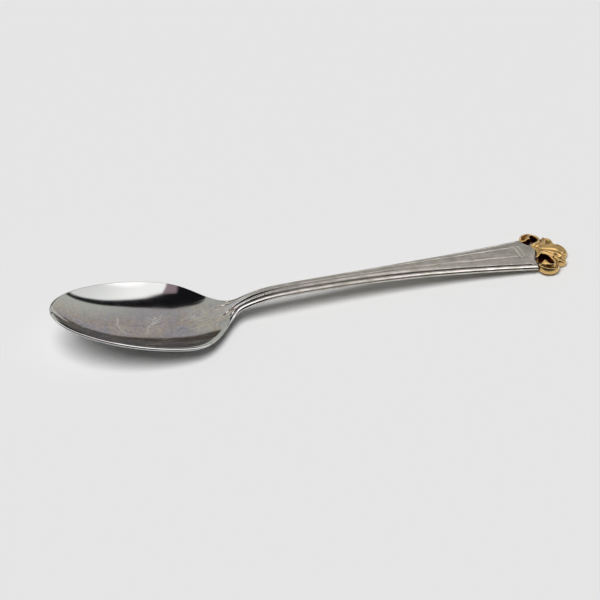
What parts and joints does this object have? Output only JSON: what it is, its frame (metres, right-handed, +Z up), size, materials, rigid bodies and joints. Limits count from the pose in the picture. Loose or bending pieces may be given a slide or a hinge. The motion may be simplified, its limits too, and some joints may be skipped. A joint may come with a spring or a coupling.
{
  "type": "souvenir spoon",
  "caption": "Small teaspoon with an oval mirror bowl, a slim arched handle with long grooves, and a gilt openwork palmette finial at the end.",
  "frame": {"origin": "middle of the bounding box, on the table the spoon rests on", "axes": "+X along the spoon from the tip of the bowl to the finial, +Z up out of the open bowl"},
  "size_m": [0.14, 0.031, 0.0129],
  "materials": {
    "steel": "polished bowl, satin handle",
    "gold_plate": "worn bright gold plate",
    "solder": "dull silver solder"
  },
  "bodies": {
    "root": {"spoon_blank": "steel", "finial": "gold_plate", "solder_seam_centre": "solder", "solder_seam_left": "solder", "solder_seam_right": "solder"}
  },
  "joints": []
}
